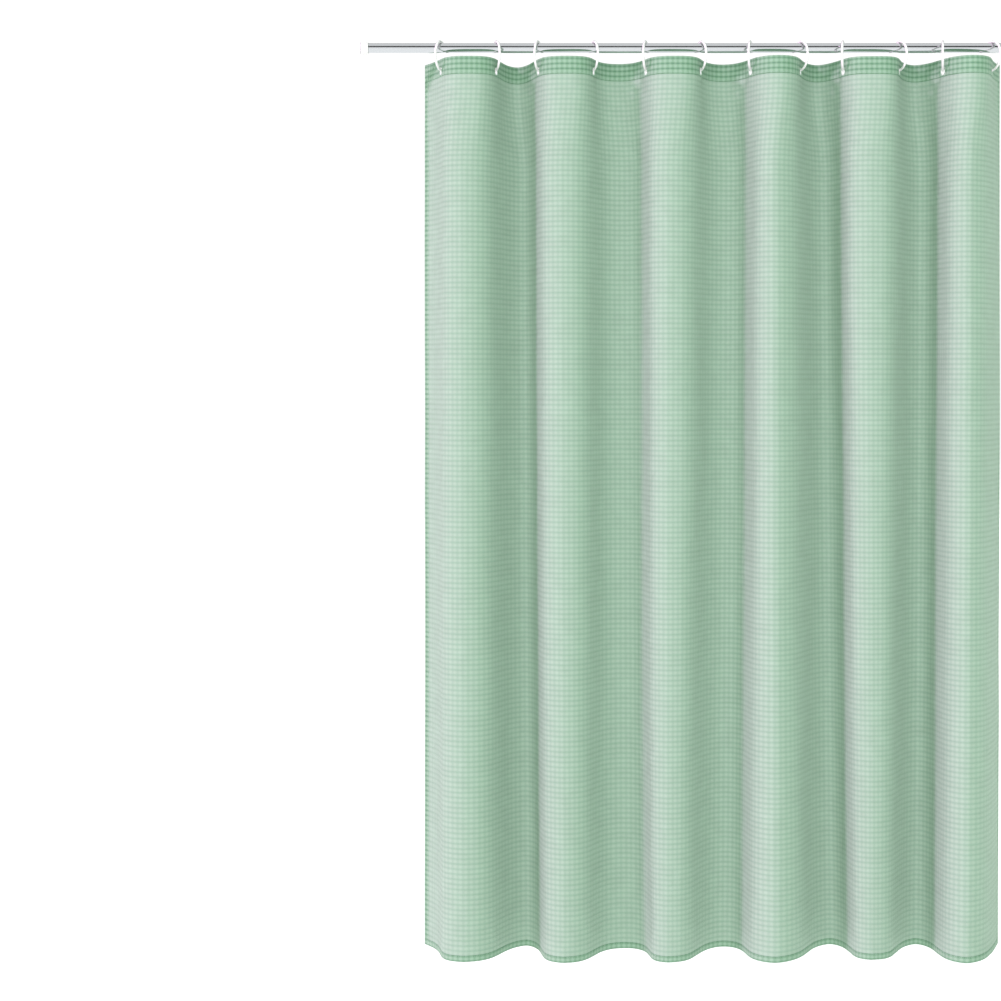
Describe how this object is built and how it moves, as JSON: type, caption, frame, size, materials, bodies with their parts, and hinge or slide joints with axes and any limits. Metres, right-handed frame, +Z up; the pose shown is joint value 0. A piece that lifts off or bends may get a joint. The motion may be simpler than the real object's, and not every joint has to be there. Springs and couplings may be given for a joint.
{
  "type": "shower curtain",
  "caption": "Pleated waffle-weave shower curtain with a stitched header, hung by C-shaped plastic rings on an extending tension rod.",
  "frame": {"origin": "centre of the outer face of the left wall pad, on the rod's axis", "axes": "+X along the rod towards the right-hand wall, +Y away from the viewer towards the back of the curtain, +Z up"},
  "size_m": [1.496, 0.1194, 1.8669],
  "materials": {
    "tube_steel": "polished",
    "fitting_plastic": "moulded, satin",
    "ring_plastic": "moulded, glossy white",
    "pad_rubber": "matt",
    "cloth": "waffle weave, pale green",
    "stitching": "satin-stitched thread, green"
  },
  "bodies": {
    "rod": {"rod_outer_tube": "tube_steel", "step_collar": "fitting_plastic", "foot_cup_left": "fitting_plastic", "foot_pad_left": "pad_rubber"},
    "expander": {"expander_plug": "fitting_plastic"},
    "rod_inner": {"rod_inner_tube": "tube_steel", "expander_stud": "tube_steel", "foot_cup_right": "fitting_plastic", "foot_pad_right": "pad_rubber"},
    "curtain": {"curtain_panel": "cloth", "header_hem": "cloth", "bottom_hem": "cloth", "side_hem_left": "cloth", "side_hem_right": "cloth", "ring_01": "ring_plastic", "buttonhole_01": "stitching"},
    "hook_02": {"ring_02": "ring_plastic", "buttonhole_02": "stitching"},
    "hook_03": {"ring_03": "ring_plastic", "buttonhole_03": "stitching"},
    "hook_04": {"ring_04": "ring_plastic", "buttonhole_04": "stitching"},
    "hook_05": {"ring_05": "ring_plastic", "buttonhole_05": "stitching"},
    "hook_06": {"ring_06": "ring_plastic", "buttonhole_06": "stitching"},
    "hook_07": {"ring_07": "ring_plastic", "buttonhole_07": "stitching"},
    "hook_08": {"ring_08": "ring_plastic", "buttonhole_08": "stitching"},
    "hook_09": {"ring_09": "ring_plastic", "buttonhole_09": "stitching"},
    "hook_10": {"ring_10": "ring_plastic", "buttonhole_10": "stitching"},
    "hook_11": {"ring_11": "ring_plastic", "buttonhole_11": "stitching"},
    "hook_12": {"ring_12": "ring_plastic", "buttonhole_12": "stitching"}
  },
  "joints": [
    {"name": "rod_extension", "type": "slide", "parent": "rod", "child": "expander", "axis": [1, 0, 0], "range_m": [-0.13, 0.3]},
    {"name": "rod_twist", "type": "hinge", "parent": "expander", "child": "rod_inner", "pos_m": [1.342, 0, 0], "axis": [1, 0, 0], "range_deg": [-180, 180]},
    {"name": "curtain_swing", "type": "hinge", "parent": "rod", "child": "curtain", "pos_m": [0.164, 0, 0], "axis": [1, 0, 0], "range_deg": [-20, 20]},
    {"name": "gather", "type": "slide", "parent": "curtain", "child": "hook_12", "axis": [1, 0, 0], "range_m": [-0.7319, 0], "deforming": ["curtain_panel", "header_hem", "bottom_hem", "side_hem_left", "side_hem_right"]},
    {"name": "hook_02_slide", "type": "slide", "parent": "curtain", "child": "hook_02", "axis": [1, 0, 0], "range_m": [-0.0744, 0.001]},
    {"name": "hook_03_slide", "type": "slide", "parent": "curtain", "child": "hook_03", "axis": [1, 0, 0], "range_m": [-0.1304, 0.001]},
    {"name": "hook_04_slide", "type": "slide", "parent": "curtain", "child": "hook_04", "axis": [1, 0, 0], "range_m": [-0.2038, 0.001]},
    {"name": "hook_05_slide", "type": "slide", "parent": "curtain", "child": "hook_05", "axis": [1, 0, 0], "range_m": [-0.2734, 0.001]},
    {"name": "hook_06_slide", "type": "slide", "parent": "curtain", "child": "hook_06", "axis": [1, 0, 0], "range_m": [-0.3462, 0.001]},
    {"name": "hook_07_slide", "type": "slide", "parent": "curtain", "child": "hook_07", "axis": [1, 0, 0], "range_m": [-0.4125, 0.001]},
    {"name": "hook_08_slide", "type": "slide", "parent": "curtain", "child": "hook_08", "axis": [1, 0, 0], "range_m": [-0.4787, 0.001]},
    {"name": "hook_09_slide", "type": "slide", "parent": "curtain", "child": "hook_09", "axis": [1, 0, 0], "range_m": [-0.5353, 0.001]},
    {"name": "hook_10_slide", "type": "slide", "parent": "curtain", "child": "hook_10", "axis": [1, 0, 0], "range_m": [-0.61, 0.001]},
    {"name": "hook_11_slide", "type": "slide", "parent": "curtain", "child": "hook_11", "axis": [1, 0, 0], "range_m": [-0.6679, 0.001]}
  ],
  "couplings": [
    {"joint": "hook_02_slide", "follows": "gather", "ratio": 0.10035},
    {"joint": "hook_03_slide", "follows": "gather", "ratio": 0.17673},
    {"joint": "hook_04_slide", "follows": "gather", "ratio": 0.27709},
    {"joint": "hook_05_slide", "follows": "gather", "ratio": 0.37211},
    {"joint": "hook_06_slide", "follows": "gather", "ratio": 0.47158},
    {"joint": "hook_07_slide", "follows": "gather", "ratio": 0.56217},
    {"joint": "hook_08_slide", "follows": "gather", "ratio": 0.65275},
    {"joint": "hook_09_slide", "follows": "gather", "ratio": 0.73002},
    {"joint": "hook_10_slide", "follows": "gather", "ratio": 0.83215},
    {"joint": "hook_11_slide", "follows": "gather", "ratio": 0.91119}
  ]
}
